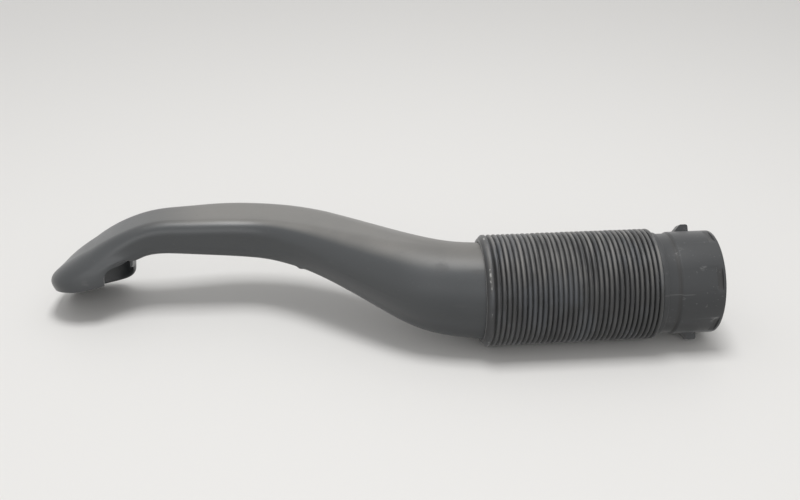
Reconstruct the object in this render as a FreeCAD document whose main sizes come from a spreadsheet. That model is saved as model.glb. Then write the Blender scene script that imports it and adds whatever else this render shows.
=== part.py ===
import FreeCAD, Part
import os

import Sketcher

# Air intake tube of a car engine: a blow-moulded duct with a hooded inlet, a corrugated hose and a
# push-on coupling. It lies on the ribs of the hose and on the lowest point of the inlet's rim.
# Frame: origin at the centre of the coupling's mouth, +X out of that mouth, +Z up, millimetres.

SIZES = {
    # corrugated hose
    "crest_diameter": 84.0,
    "rib_pitch": 3.75,
    "rib_count": 33,
    "rib_depth": 2.8,
    "hose_wall": 1.2,
    "collar_length": 6.5,
    "collar_taper": 3.5,
    "collar_lip": 1.4,
    # how the hose sits on the duct and on the coupling
    "spigot_depth": 20.0,
    "fit_gap": 0.3,
    # coupling
    "cup_diameter": 77.7,
    "cup_length": 34.0,
    "cup_wall": 3.0,
    "cup_shoulder": 2.0,
    "socket_depth": 29.5,
    "mouth_round": 2.0,
    "neck_length": 13.0,
    "neck_wall": 2.5,
    "bead_height": 1.1,
    "bead_length": 4.0,
    "lug_length": 12.0,
    "lug_ramp": 6.0,
    "lug_height": 5.0,
    "lug_width": 9.0,
    "lug_setback": 14.5,
    "lug_lean": 32.0,
    "pocket_count": 6,
    "pocket_width": 19.0,
    "pocket_length": 4.0,
    "pocket_depth": 1.2,
    "pocket_setback": 2.5,
    # duct: round end, flattened arch, throat behind the inlet
    "duct_diameter": 72.5,
    "duct_wall": 2.4,
    "round_flat": 0.6,
    "sweep_run": 176.0,
    "sweep_aside": 88.5,
    "sweep_rise": 17.0,
    "arch_width": 50.0,
    "arch_height": 32.5,
    "arch_corner": 10.5,
    "arch_run": 82.0,
    "arch_return": 2.5,
    "arch_rise": 2.5,
    "throat_width": 41.0,
    "throat_height": 27.0,
    "throat_corner": 10.0,
    # inlet: an oval rim that looks down, higher at its front side and at its heel
    "inlet_length": 66.0,
    "inlet_width": 76.0,
    "inlet_corner": 30.0,
    "inlet_reach": 40.0,
    "inlet_shoulder": 32.0,
    "inlet_return": 5.0,
    "inlet_roll": 22.0,
    "inlet_pitch": 11.0,
    "inlet_skirt": 10.0,
    # arched cut-out in the front wall of the inlet, which leaves a lip at the heel
    "notch_width": 25.0,
    "notch_height": 15.0,
    "notch_corner": 9.0,
    "notch_depth": 36.0,
    "notch_heel": 3.0,
}

SWEEP_STEPS = 6
ARCH_STEPS = 3
HOOD_STEPS = 4

doc = FreeCAD.newDocument("air_intake_tube")
sheet = doc.addObject("Spreadsheet::Sheet", "Sizes")
for line, (alias, value) in enumerate(SIZES.items(), start=1):
    sheet.set(f"A{line}", alias)
    sheet.set(f"B{line}", str(value))
    sheet.setAlias(f"B{line}", alias)
doc.recompute()


def formula(text):
    """An expression for the document: sizes are named in braces."""
    return text.replace("{", "Sizes.").replace("}", "")


def bind(thing, **expressions):
    """Tie properties of an object to the sheet; a double underscore stands for a dot."""
    for name, text in expressions.items():
        thing.setExpression(name.replace("__", "."), formula(text))


def measure(thing, text):
    """The present value of an expression over the sheet."""
    value = thing.evalExpression(formula(text))
    return float(getattr(value, "Value", value))


def new_body(name, along_axis):
    """A body named as its file, moved along the bore axis to its place."""
    body = doc.addObject("PartDesign::Body", name)
    body.Label = name
    bind(body, Placement__Base__x=along_axis)
    return body


def origin_feature(body, role):
    return next(f for f in body.Origin.OriginFeatures if f.Role == role)


def new_sketch(body, name, plane, offset=None):
    """A sketch on one of the body's own origin planes, moved by a placement expression."""
    sketch = body.newObject("Sketcher::SketchObject", name)
    sketch.AttachmentSupport = [(origin_feature(body, plane), "")]
    sketch.MapMode = "FlatFace"
    if offset:
        bind(sketch, AttachmentOffset=offset)
    return sketch


def closed_outline(sketch, corners):
    """Straight-edged outline; each corner is a pair of expressions measured from the origin."""
    points = [FreeCAD.Vector(measure(sketch, x), measure(sketch, y), 0) for x, y in corners]
    count = len(points)
    lines = [Part.LineSegment(points[i], points[(i + 1) % count]) for i in range(count)]
    sketch.addGeometry(lines, False)
    sketch.addConstraint(
        [Sketcher.Constraint("Coincident", i, 2, (i + 1) % count, 1) for i in range(count)])
    for i, (x, y) in enumerate(corners):
        for kind, text, value in (("DistanceX", x, points[i].x), ("DistanceY", y, points[i].y)):
            index = sketch.addConstraint(Sketcher.Constraint(kind, -1, 1, i, 1, value))
            bind(sketch, **{f"Constraints[{index}]": text})


def rounded_rectangle(sketch, width, height, corner):
    """Rectangle about the sketch's origin with four equal round corners, bound to expressions."""
    a = measure(sketch, width) / 2
    b = measure(sketch, height) / 2
    r = measure(sketch, corner)
    vec = FreeCAD.Vector
    turn = FreeCAD.Units.Quantity("90 deg").getValueAs("rad").Value

    def arc(x, y, quarter):
        circle = Part.Circle(vec(x, y, 0), vec(0, 0, 1), r)
        return Part.ArcOfCircle(circle, quarter * turn, (quarter + 1) * turn)

    sketch.addGeometry([
        Part.LineSegment(vec(r - a, -b, 0), vec(a - r, -b, 0)),
        arc(a - r, r - b, 3),
        Part.LineSegment(vec(a, r - b, 0), vec(a, b - r, 0)),
        arc(a - r, b - r, 0),
        Part.LineSegment(vec(a - r, b, 0), vec(r - a, b, 0)),
        arc(r - a, b - r, 1),
        Part.LineSegment(vec(-a, b - r, 0), vec(-a, r - b, 0)),
        arc(r - a, r - b, 2),
    ], False)
    sketch.addConstraint([Sketcher.Constraint("Tangent", i, 2, (i + 1) % 8, 1) for i in range(8)])
    sketch.addConstraint([
        Sketcher.Constraint("Horizontal", 0),
        Sketcher.Constraint("Horizontal", 4),
        Sketcher.Constraint("Vertical", 2),
        Sketcher.Constraint("Vertical", 6),
        Sketcher.Constraint("Equal", 1, 3),
        Sketcher.Constraint("Equal", 1, 5),
        Sketcher.Constraint("Equal", 1, 7),
        Sketcher.Constraint("Symmetric", 0, 1, 4, 1, -1, 1),
    ])
    for kind, places, text, value in (
            ("DistanceX", (6, 1, 2, 1), width, 2 * a),
            ("DistanceY", (0, 1, 4, 1), height, 2 * b),
            ("Radius", (1,), corner, r)):
        index = sketch.addConstraint(Sketcher.Constraint(kind, *places, value))
        bind(sketch, **{f"Constraints[{index}]": text})


def revolved(body, name, sketch):
    """Full turn of a profile about the bore axis."""
    feature = body.newObject("PartDesign::Revolution", name)
    feature.Profile = sketch
    feature.ReferenceAxis = (origin_feature(body, "X_Axis"), [""])
    feature.Angle = 360
    return feature


# Places along the bore axis, from the coupling's mouth back to the round end of the duct
NECK_END = "(0 - {cup_length} - {neck_length} - {spigot_depth})"
HOSE_END = "(0 - {cup_length} - {neck_length} - {rib_count} * {rib_pitch} - {collar_length})"

CREST = "{crest_diameter} / 2"
ROOT = "({crest_diameter} / 2 - {rib_depth})"
NECK_OUTER = "({crest_diameter} / 2 - {rib_depth} - {hose_wall} - {fit_gap})"
DUCT_OUTER = "{duct_diameter} / 2"


def bellows_hose():
    """Corrugated hose: sharp-folded ribs, and a plain collar that tapers down to the duct."""
    body = new_body("bellows_hose", HOSE_END)
    profile = new_sketch(body, "hose_profile", "XY_Plane")
    ribs = int(sheet.rib_count)
    duct_fit = f"({DUCT_OUTER} + {{fit_gap}})"
    bore = f"({NECK_OUTER} + {{fit_gap}})"
    corners = [
        ("0", duct_fit),
        ("0", f"{duct_fit} + {{collar_lip}}"),
        ("{collar_taper}", CREST),
        ("{collar_length} - {rib_pitch} / 2", CREST),
    ]
    for rib in range(ribs):
        corners.append((f"{{collar_length}} + {{rib_pitch}} * {rib}", ROOT))
        corners.append((f"{{collar_length}} + {{rib_pitch}} * {rib + 0.5}", CREST))
    corners += [
        ("{collar_length} + {rib_pitch} * {rib_count}", ROOT),
        ("{collar_length} + {rib_pitch} * {rib_count}", bore),
        ("{spigot_depth} + {fit_gap}", bore),
        ("{spigot_depth} + {fit_gap}", duct_fit),
    ]
    closed_outline(profile, corners)
    revolved(body, "hose_wall", profile)
    return body


def end_coupling():
    """Push-on coupling: a neck inside the hose, a stop bead, and a cup with lugs and pockets."""
    body = new_body("end_coupling", NECK_END)
    profile = new_sketch(body, "coupling_profile", "XY_Plane")
    bead_start = "({spigot_depth} + {fit_gap})"
    cup_start = "({spigot_depth} + {neck_length})"
    mouth = f"({cup_start} + {{cup_length}})"
    cup_outer = "{cup_diameter} / 2"
    cup_inner = "({cup_diameter} / 2 - {cup_wall})"
    neck_inner = f"({NECK_OUTER} - {{neck_wall}})"
    closed_outline(profile, [
        ("0", neck_inner),
        ("0", NECK_OUTER),
        (bead_start, NECK_OUTER),
        (bead_start, f"{NECK_OUTER} + {{bead_height}}"),
        (f"{bead_start} + {{bead_length}}", f"{NECK_OUTER} + {{bead_height}}"),
        (f"{bead_start} + {{bead_length}}", NECK_OUTER),
        (cup_start, NECK_OUTER),
        (f"{cup_start} + {{cup_shoulder}}", cup_outer),
        (f"{mouth} - {{mouth_round}}", cup_outer),
        (mouth, f"{cup_outer} - {{mouth_round}}"),
        (mouth, cup_inner),
        (f"{mouth} - {{socket_depth}}", cup_inner),
        (f"{mouth} - {{socket_depth}}", neck_inner),
    ])
    cup = revolved(body, "coupling_wall", profile)
    doc.recompute()

    side = new_sketch(body, "lug_side", "XZ_Plane",
                      "placement(vector(0; 0; 0); rotation(0; 0; 0 - {lug_lean}))")
    lug_end = f"({mouth} - {{lug_setback}})"
    lug_foot = f"({cup_outer} - {{cup_wall}} / 2)"
    lug_top = f"({cup_outer} + {{lug_height}})"
    closed_outline(side, [
        (f"{lug_end} - {{lug_length}}", lug_foot),
        (lug_end, lug_foot),
        (lug_end, lug_top),
        (f"{lug_end} - {{lug_length}} + {{lug_ramp}}", lug_top),
    ])
    lug = body.newObject("PartDesign::Pad", "lug")
    lug.Profile = side
    lug.Midplane = True
    bind(lug, Length="{lug_width}")
    lugs = body.newObject("PartDesign::PolarPattern", "lugs")
    lugs.Originals = [lug]
    lugs.Axis = (origin_feature(body, "X_Axis"), [""])
    lugs.Angle = 360
    lugs.Occurrences = 2
    body.Tip = lugs
    doc.recompute()

    opening = new_sketch(body, "pocket_outline", "XY_Plane",
                         f"placement(vector(0; 0; {cup_outer} - {{pocket_depth}}); rotation(0; 0; 0))")
    pocket_end = f"({mouth} - {{pocket_setback}})"
    closed_outline(opening, [
        (f"{pocket_end} - {{pocket_length}}", "0 - {pocket_width} / 2"),
        (pocket_end, "0 - {pocket_width} / 2"),
        (pocket_end, "{pocket_width} / 2"),
        (f"{pocket_end} - {{pocket_length}}", "{pocket_width} / 2"),
    ])
    pocket = body.newObject("PartDesign::Pocket", "pocket")
    pocket.Profile = opening
    pocket.Reversed = True
    bind(pocket, Length="{pocket_depth} + {cup_wall}")
    pockets = body.newObject("PartDesign::PolarPattern", "pockets")
    pockets.Originals = [pocket]
    pockets.Axis = (origin_feature(body, "X_Axis"), [""])
    pockets.Angle = 360
    bind(pockets, Occurrences="{pocket_count}")
    body.Tip = pockets
    doc.recompute()
    if pockets.Shape.Volume >= lugs.Shape.Volume or lugs.Shape.Volume <= cup.Shape.Volume:
        raise RuntimeError("a lug or pocket of the coupling points away from its wall")
    return body


def between(first, last, share):
    """Expression part of the way from one expression to another."""
    return f"(({first}) + (({last}) - ({first})) * {share:.6f})"


def ease(share):
    """Smooth start and stop, and its slope."""
    return share * share * (3 - 2 * share), 6 * share * (1 - share)


class Station:
    """One section of the duct: where its middle is, how it is turned and how large it is."""

    def __init__(self, x, y, z, turn, width, height, corner):
        self.x, self.y, self.z = x, y, z
        self.turn = turn
        self.width, self.height, self.corner = width, height, corner

    def placement(self):
        roll, yaw, fan = self.turn
        return f"placement(vector({self.y}; {self.z}; {self.x}); rotation({roll}; {yaw}; {fan}))"


ROUND_CORNER = "({duct_diameter} - {round_flat}) / 2"

# Middle of the inlet's rim: its lowest point is level with the lowest ribs of the hose
RIM_LOW = ("(({inlet_width} / 2 - {inlet_corner}) * sin({inlet_roll})"
           " + ({inlet_length} / 2 - {inlet_corner}) * sin({inlet_pitch}) * cos({inlet_roll})"
           " + {inlet_corner} * sqrt(sin({inlet_roll})^2 + (sin({inlet_pitch}) * cos({inlet_roll}))^2))")
RIM_X = "(0 - {sweep_run} - {arch_run} - {inlet_reach})"
RIM_Y = "({sweep_aside} - {arch_return} - {inlet_return})"
RIM_Z = f"({RIM_LOW} - {CREST})"

# Middle of the hood where its skirt starts, square above the rim
HOOD_X = f"({RIM_X} - {{inlet_skirt}} * sin({{inlet_pitch}}))"
HOOD_Y = f"({RIM_Y} + {{inlet_skirt}} * sin({{inlet_roll}}) * cos({{inlet_pitch}}))"
HOOD_Z = f"({RIM_Z} + {{inlet_skirt}} * cos({{inlet_roll}}) * cos({{inlet_pitch}}))"


def duct_stations():
    """Sections from the round end, along the swan neck and the arch, and round the hood."""
    stations = []
    for step in range(SWEEP_STEPS + 1):
        share = step / SWEEP_STEPS
        eased, slope = ease(share)
        stations.append(Station(
            f"(0 - {{sweep_run}} * {share:.6f})",
            f"{{sweep_aside}} * {eased:.6f}",
            f"{{sweep_rise}} * {eased:.6f}",
            ("0", f"atan(0 - {{sweep_aside}} * {slope:.6f} / {{sweep_run}})",
             f"atan({{sweep_rise}} * {slope:.6f} / {{sweep_run}})"),
            between("{duct_diameter}", "{arch_width}", eased),
            between("{duct_diameter}", "{arch_height}", eased),
            between(ROUND_CORNER, "{arch_corner}", eased)))
    for step in range(1, ARCH_STEPS + 1):
        share = step / ARCH_STEPS
        eased, slope = ease(share)
        stations.append(Station(
            f"(0 - {{sweep_run}} - {{arch_run}} * {share:.6f})",
            f"{{sweep_aside}} - {{arch_return}} * {eased:.6f}",
            f"{{sweep_rise}} + {{arch_rise}} * {eased:.6f}",
            ("0", f"atan({{arch_return}} * {slope:.6f} / {{arch_run}})", "0"),
            between("{arch_width}", "{throat_width}", eased),
            between("{arch_height}", "{throat_height}", eased),
            between("{arch_corner}", "{throat_corner}", eased)))
    throat_x = "(0 - {sweep_run} - {arch_run})"
    throat_y = "({sweep_aside} - {arch_return})"
    throat_z = "({sweep_rise} + {arch_rise})"
    for step in range(1, HOOD_STEPS + 1):
        share = step / HOOD_STEPS
        square = share * share
        bend = 2 * share * (1 - share)
        turned = share * (2 - share)
        stations.append(Station(
            f"({between(throat_x, HOOD_X, square)} - {{inlet_shoulder}} * {bend:.6f})",
            between(throat_y, HOOD_Y, share),
            between(throat_z, HOOD_Z, square),
            (f"0 - {{inlet_roll}} * {square:.6f}", "0", f"0 - (90 + {{inlet_pitch}}) * {turned:.6f}"),
            between("{throat_width}", "{inlet_width}", share),
            between("{throat_height}", "{inlet_length}", square),
            between("{throat_corner}", "{inlet_corner}", square)))
    hood = stations[-1]
    stations.append(Station(RIM_X, RIM_Y, RIM_Z, hood.turn, hood.width, hood.height, hood.corner))
    return stations


def lofted(body, kind, name, stations, wall):
    """Loft through the stations, drawn in by a wall."""
    sketches = []
    for number, station in enumerate(stations, start=1):
        sketch = new_sketch(body, f"{name}_section_{number}", "YZ_Plane", station.placement())
        rounded_rectangle(sketch, f"{station.width} - 2 * {wall}", f"{station.height} - 2 * {wall}",
                          f"{station.corner} - {wall}")
        sketches.append(sketch)
    doc.recompute()
    feature = body.newObject(kind, name)
    feature.Profile = sketches[0]
    feature.Sections = sketches[1:]
    feature.Ruled = False
    doc.recompute()
    return feature


def snorkel_tube():
    """Blow-moulded duct: round spigot, swan neck, flat arch and a hooded inlet with a notch."""
    body = new_body("snorkel_tube", HOSE_END)
    stations = duct_stations()
    outside = lofted(body, "PartDesign::AdditiveLoft", "outside", stations, "0")

    end = new_sketch(body, "spigot_end", "YZ_Plane")
    end.addGeometry(Part.Circle(FreeCAD.Vector(0, 0, 0), FreeCAD.Vector(0, 0, 1), sheet.duct_diameter / 2))
    end.addConstraint(Sketcher.Constraint("Coincident", 0, 3, -1, 1))
    index = end.addConstraint(Sketcher.Constraint("Radius", 0, sheet.duct_diameter / 2))
    bind(end, **{f"Constraints[{index}]": DUCT_OUTER})
    spigot = body.newObject("PartDesign::Pad", "spigot")
    spigot.Profile = end
    bind(spigot, Length="{spigot_depth}")
    doc.recompute()

    inside = lofted(body, "PartDesign::SubtractiveLoft", "inside", stations, "{duct_wall}")
    bore = new_sketch(body, "bore_end", "YZ_Plane")
    bore_radius = sheet.duct_diameter / 2 - sheet.duct_wall
    bore.addGeometry(Part.Circle(FreeCAD.Vector(0, 0, 0), FreeCAD.Vector(0, 0, 1), bore_radius))
    bore.addConstraint(Sketcher.Constraint("Coincident", 0, 3, -1, 1))
    index = bore.addConstraint(Sketcher.Constraint("Radius", 0, bore_radius))
    bind(bore, **{f"Constraints[{index}]": f"{DUCT_OUTER} - {{duct_wall}}"})
    hollow = body.newObject("PartDesign::Pocket", "spigot_bore")
    hollow.Profile = bore
    hollow.Reversed = True
    bind(hollow, Length="{spigot_depth}")
    doc.recompute()

    front = f"({RIM_Y} - {{inlet_width}} / 2 + {{notch_depth}})"
    arch = new_sketch(body, "notch_outline", "XZ_Plane",
                      f"placement(vector(0; 0; 0 - {front}); rotation(0; 0; 0))")
    notch_left = f"({RIM_X} + {{inlet_length}} / 2 - {{notch_width}})"
    notch_right = f"({RIM_X} + {{inlet_length}} / 2 - {{notch_heel}})"
    notch_top = f"({RIM_Z} + sin({{inlet_roll}}) * {{inlet_width}} / 2 + {{notch_height}})"
    notch_foot = f"({RIM_Z} - {{inlet_width}} / 2)"
    left = measure(arch, notch_left)
    right = measure(arch, notch_right)
    top = measure(arch, notch_top)
    foot = measure(arch, notch_foot)
    corner = sheet.notch_corner
    vec = FreeCAD.Vector
    quarter = FreeCAD.Units.Quantity("90 deg").getValueAs("rad").Value
    circle = Part.Circle(vec(left + corner, top - corner, 0), vec(0, 0, 1), corner)
    arch.addGeometry([
        Part.LineSegment(vec(left, foot, 0), vec(right, foot, 0)),
        Part.LineSegment(vec(right, foot, 0), vec(right, top, 0)),
        Part.LineSegment(vec(right, top, 0), vec(left + corner, top, 0)),
        Part.ArcOfCircle(circle, quarter, 2 * quarter),
        Part.LineSegment(vec(left, top - corner, 0), vec(left, foot, 0)),
    ], False)
    arch.addConstraint([
        Sketcher.Constraint("Coincident", 0, 2, 1, 1),
        Sketcher.Constraint("Coincident", 1, 2, 2, 1),
        Sketcher.Constraint("Tangent", 2, 2, 3, 1),
        Sketcher.Constraint("Tangent", 3, 2, 4, 1),
        Sketcher.Constraint("Coincident", 4, 2, 0, 1),
        Sketcher.Constraint("Horizontal", 0),
        Sketcher.Constraint("Vertical", 1),
        Sketcher.Constraint("Horizontal", 2),
        Sketcher.Constraint("Vertical", 4),
    ])
    for kind, places, text, value in (
            ("DistanceX", (-1, 1, 0, 1), notch_left, left),
            ("DistanceY", (-1, 1, 0, 1), notch_foot, foot),
            ("DistanceX", (-1, 1, 1, 2), notch_right, right),
            ("DistanceY", (-1, 1, 1, 2), notch_top, top),
            ("Radius", (3,), "{notch_corner}", corner)):
        index = arch.addConstraint(Sketcher.Constraint(kind, *places, value))
        bind(arch, **{f"Constraints[{index}]": text})
    notch = body.newObject("PartDesign::Pocket", "notch")
    notch.Profile = arch
    notch.Reversed = True
    bind(notch, Length="{inlet_width}")
    body.Tip = notch
    doc.recompute()
    grown = outside.Shape.Volume < spigot.Shape.Volume
    cut = spigot.Shape.Volume > inside.Shape.Volume > hollow.Shape.Volume > notch.Shape.Volume
    if not (grown and cut):
        raise RuntimeError("a cut of the duct points away from its wall")
    return body


pieces = [bellows_hose(), end_coupling(), snorkel_tube()]
doc.recompute()

for thing in doc.Objects:
    if "Invalid" in thing.State or "Error" in thing.State:
        raise RuntimeError(f"{thing.Name} failed: {thing.State}")
for piece in pieces:
    if piece.Shape.isNull() or not piece.Shape.isValid() or len(piece.Shape.Solids) != 1:
        raise RuntimeError(f"{piece.Label} is not one valid solid")

os.makedirs("parts", exist_ok=True)
for piece in pieces:
    piece.Shape.exportStep(f"parts/{piece.Label}.step")
    box = piece.Shape.BoundBox
    print(piece.Label, f"volume {piece.Shape.Volume:.0f}", f"x {box.XMin:.1f} {box.XMax:.1f}",
          f"y {box.YMin:.1f} {box.YMax:.1f}", f"z {box.ZMin:.2f} {box.ZMax:.2f}")
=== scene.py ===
import math
import random

import bmesh
import bpy
import numpy as np
from mathutils import Matrix, Vector


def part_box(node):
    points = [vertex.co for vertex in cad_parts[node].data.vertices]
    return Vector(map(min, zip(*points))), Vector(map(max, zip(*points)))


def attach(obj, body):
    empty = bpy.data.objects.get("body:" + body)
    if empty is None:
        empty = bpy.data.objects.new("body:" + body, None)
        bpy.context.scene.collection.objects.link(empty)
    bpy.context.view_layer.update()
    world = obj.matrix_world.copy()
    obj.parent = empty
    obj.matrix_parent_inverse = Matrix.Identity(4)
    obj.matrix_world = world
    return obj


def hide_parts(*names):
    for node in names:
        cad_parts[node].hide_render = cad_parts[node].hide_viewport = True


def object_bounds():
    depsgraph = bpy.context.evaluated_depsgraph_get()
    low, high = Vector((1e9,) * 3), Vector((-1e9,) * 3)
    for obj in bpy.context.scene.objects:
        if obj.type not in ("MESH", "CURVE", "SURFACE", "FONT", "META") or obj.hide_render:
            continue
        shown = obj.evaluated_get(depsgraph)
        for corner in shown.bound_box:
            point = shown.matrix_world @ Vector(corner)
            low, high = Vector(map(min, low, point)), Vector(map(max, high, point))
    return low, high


# Air intake tube on a pale floor: a blow-moulded duct, a corrugated hose and a push-on coupling.
# Sizes of the hose, the coupling and the duct are in millimetres.
# The stage, the places and depths named for the finishes, and all meshes are in metres.

MM = 0.001

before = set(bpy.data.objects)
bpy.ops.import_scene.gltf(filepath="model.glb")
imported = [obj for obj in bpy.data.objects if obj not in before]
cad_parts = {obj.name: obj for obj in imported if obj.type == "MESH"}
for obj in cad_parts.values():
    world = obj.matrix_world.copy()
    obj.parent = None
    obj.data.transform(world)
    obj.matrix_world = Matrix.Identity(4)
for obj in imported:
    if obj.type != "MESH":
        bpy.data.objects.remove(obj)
cad_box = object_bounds()


# Camera and stage

PHOTO_WIDTH_PX = 800
FOCAL_PX = 1100
SENSOR_WIDTH = 36.0
CAMERA_PLACE = (-0.301, -0.723, 0.3935)
CAMERA_PITCH_DOWN = 26.18
CAMERA_YAW = 5.05
CAMERA_CLIP_START = 0.01

FLOOR_HALF = 12.0
# how far from the coupling's mouth the floor starts to fade into the background, and where it has gone
FLOOR_FADES = (0.7, 5.0)
FLOOR_COLOUR = (0.77, 0.762, 0.748)
FLOOR_GLOSS = {"Roughness": 0.6, "Specular IOR Level": 0.25}
WORLD_COLOUR = (1.0, 0.995, 0.985)
WORLD_STRENGTH = 0.50
SEEN_WORLD_STRENGTH = 1.0
# studio lamps: place, what they point at, size across and down, power
LAMPS = {
    "overhead_softbox": ((-0.26, 0.02, 1.70), (-0.26, 0.02, 0.0), (0.50, 0.75), 16.6),
    "front_fill": ((-0.35, -1.60, 0.80), (-0.26, 0.0, 0.0), (2.0, 0.8), 5.4),
}


# Mesh helpers

# points along a rounded corner, and the share of a side that it may take
CORNER_STEPS = 4
CORNER_LIMIT = 0.49


def new_piece(name, mesh, material, node):
    """A dressed piece that stands for one CAD node and rides on the part's body."""
    piece = bpy.data.objects.new(name, mesh)
    bpy.context.scene.collection.objects.link(piece)
    mesh.materials.append(material)
    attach(piece, "root")
    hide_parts(node)


def ring_mesh(name, rings):
    """Closed skin over rings of points: the last ring joins the first, and each ring is closed."""
    rows, columns, _ = rings.shape
    index = np.arange(rows * columns).reshape(rows, columns)
    below = np.roll(index, -1, axis=0)
    faces = np.stack(
        [index, np.roll(index, -1, axis=1), np.roll(below, -1, axis=1), below], axis=-1)
    mesh = bpy.data.meshes.new(name)
    mesh.from_pydata((rings.reshape(-1, 3) * MM).tolist(), [], faces.reshape(-1, 4).tolist())
    outward(mesh)
    return mesh


def inside_box(rings, low, high):
    """Rings in millimetres held inside a node's box, which is in metres."""
    return np.clip(rings, np.array(low) / MM, np.array(high) / MM)


def outward(mesh):
    """Consistent outward normals."""
    shell = bmesh.new()
    shell.from_mesh(mesh)
    bmesh.ops.recalc_face_normals(shell, faces=shell.faces)
    shell.to_mesh(mesh)
    shell.free()


def smooth(mesh, sharp_angle):
    """Smooth shading with creases kept above an angle in degrees."""
    mesh.shade_smooth()
    mesh.set_sharp_from_angle(angle=math.radians(sharp_angle))


def turned(profile, segments, change):
    """Rings of a closed profile of (x, radius) points turned about the bore axis, then changed."""
    angles = np.linspace(0, 2 * math.pi, segments, endpoint=False)
    profile = np.asarray(profile, float)
    x = np.repeat(profile[:, :1], segments, axis=1)
    r = np.repeat(profile[:, 1:], segments, axis=1)
    turn = np.repeat(angles[None, :], len(profile), axis=0)
    x, r = change(x, r, turn)
    return np.stack([x, r * np.sin(turn), r * np.cos(turn)], axis=-1)


def rounded(corners, steps=CORNER_STEPS):
    """A closed outline; each corner (x, r, radius) becomes a curve from end to end of such an arc."""
    points = []
    count = len(corners)
    for i, (x, r, radius) in enumerate(corners):
        here = Vector((x, r))
        before = Vector(corners[i - 1][:2]) - here
        after = Vector(corners[(i + 1) % count][:2]) - here
        if radius <= 0:
            points.append(here)
            continue
        half = before.angle(after) / 2
        reach = min(radius / math.tan(half), CORNER_LIMIT * before.length, CORNER_LIMIT * after.length)
        start = here + before.normalized() * reach
        stop = here + after.normalized() * reach
        for step in range(steps + 1):
            share = step / steps
            points.append((1 - share) ** 2 * start + 2 * share * (1 - share) * here + share ** 2 * stop)
    return [tuple(p) for p in points]


def combined(mesh, other, operation):
    """Boolean of a mesh with another; the result is a new mesh."""
    target = bpy.data.objects.new("boolean_target", mesh)
    tool = bpy.data.objects.new("boolean_tool", other)
    for thing in (target, tool):
        bpy.context.scene.collection.objects.link(thing)
    boolean = target.modifiers.new("boolean", "BOOLEAN")
    boolean.operation = operation
    boolean.solver = "EXACT"
    boolean.object = tool
    result = bpy.data.meshes.new_from_object(
        target.evaluated_get(bpy.context.evaluated_depsgraph_get()))
    for thing in (target, tool):
        bpy.data.objects.remove(thing)
    return result


def prism(name, outline, place):
    """Closed prism: outline points swept between two copies, place(point, side) gives each corner."""
    count = len(outline)
    points = [place(p, side) for side in (0, 1) for p in outline]
    faces = [list(range(count)), list(range(2 * count - 1, count - 1, -1))]
    faces += [[i, (i + 1) % count, count + (i + 1) % count, count + i] for i in range(count)]
    mesh = bpy.data.meshes.new(name)
    mesh.from_pydata([tuple(c * MM for c in p) for p in points], [], faces)
    outward(mesh)
    return mesh


# Shader helpers

NOISE_ROUGHNESS = 0.55


def add(tree, kind, inputs=None, **settings):
    """A shader node; inputs are values or output sockets to link."""
    node = tree.nodes.new(kind)
    for name, value in settings.items():
        setattr(node, name, value)
    for key, value in (inputs or {}).items():
        if isinstance(value, bpy.types.NodeSocket):
            tree.links.new(value, node.inputs[key])
        else:
            node.inputs[key].default_value = value
    return node


def maths(tree, operation, first, *others):
    """One value from several by a math operation, taken two at a time."""
    for other in others:
        first = add(tree, "ShaderNodeMath", {0: first, 1: other}, operation=operation).outputs[0]
    return first


def gap(tree, value, middle):
    """How far a value lies from a middle, to either side."""
    offset = maths(tree, "SUBTRACT", value, middle)
    return add(tree, "ShaderNodeMath", {0: offset}, operation="ABSOLUTE").outputs[0]


def ranged(tree, value, low, high, to_low=0.0, to_high=1.0):
    """A value mapped between two limits, clamped, with a smooth step."""
    node = add(tree, "ShaderNodeMapRange", {
        "Value": value, "From Min": low, "From Max": high, "To Min": to_low, "To Max": to_high},
        interpolation_type="SMOOTHSTEP")
    return node.outputs["Result"]


def noise(tree, place, scale, detail):
    """Soft noise with so many waves a metre."""
    node = add(tree, "ShaderNodeTexNoise", {
        "Vector": place, "Scale": scale, "Detail": detail, "Roughness": NOISE_ROUGHNESS})
    return node.outputs["Fac"]


def flecks(tree, place, stretch, detail, low, high):
    """Noise with its own count of waves a metre along each axis; it shows between two levels."""
    stretched = add(tree, "ShaderNodeMapping", {"Vector": place, "Scale": stretch}).outputs["Vector"]
    return ranged(tree, noise(tree, stretched, 1.0, detail), low, high)


def mixed(tree, share, first, second):
    """A colour between two colours, each a value or a socket."""
    node = add(tree, "ShaderNodeMix", data_type="RGBA")
    for key, value in (("Factor", share), ("A", first), ("B", second)):
        socket = next(s for s in node.inputs if s.name == key and s.enabled)
        if isinstance(value, bpy.types.NodeSocket):
            tree.links.new(value, socket)
        else:
            socket.default_value = value if key == "Factor" else (*value, 1.0)
    return next(s for s in node.outputs if s.enabled)


def axes_of(tree, vector):
    """The X, Y and Z of a vector."""
    return add(tree, "ShaderNodeSeparateXYZ", {"Vector": vector}).outputs


def length_of(tree, vector):
    """The length of a vector."""
    return add(tree, "ShaderNodeVectorMath", {0: vector}, operation="LENGTH").outputs["Value"]


def bore_radius(tree, axes):
    """Distance from the bore axis."""
    flat = add(tree, "ShaderNodeCombineXYZ", {"Y": axes["Y"], "Z": axes["Z"]})
    return length_of(tree, flat.outputs["Vector"])


def rubs(tree, place, spots):
    """1 at the centre of each (centre, radius) spot on the object, falling to 0 at its radius."""
    marks = []
    for centre, radius in spots:
        away = add(tree, "ShaderNodeVectorMath", {0: place, 1: centre}, operation="DISTANCE")
        marks.append(ranged(tree, away.outputs["Value"], radius, 0.0))
    return maths(tree, "MAXIMUM", *marks)


def settled(tree, low, high):
    """1 on faces that look up, where dust lies, falling to 0 as they turn away."""
    normal = add(tree, "ShaderNodeNewGeometry").outputs["Normal"]
    return ranged(tree, axes_of(tree, normal)["Z"], low, high)


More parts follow.
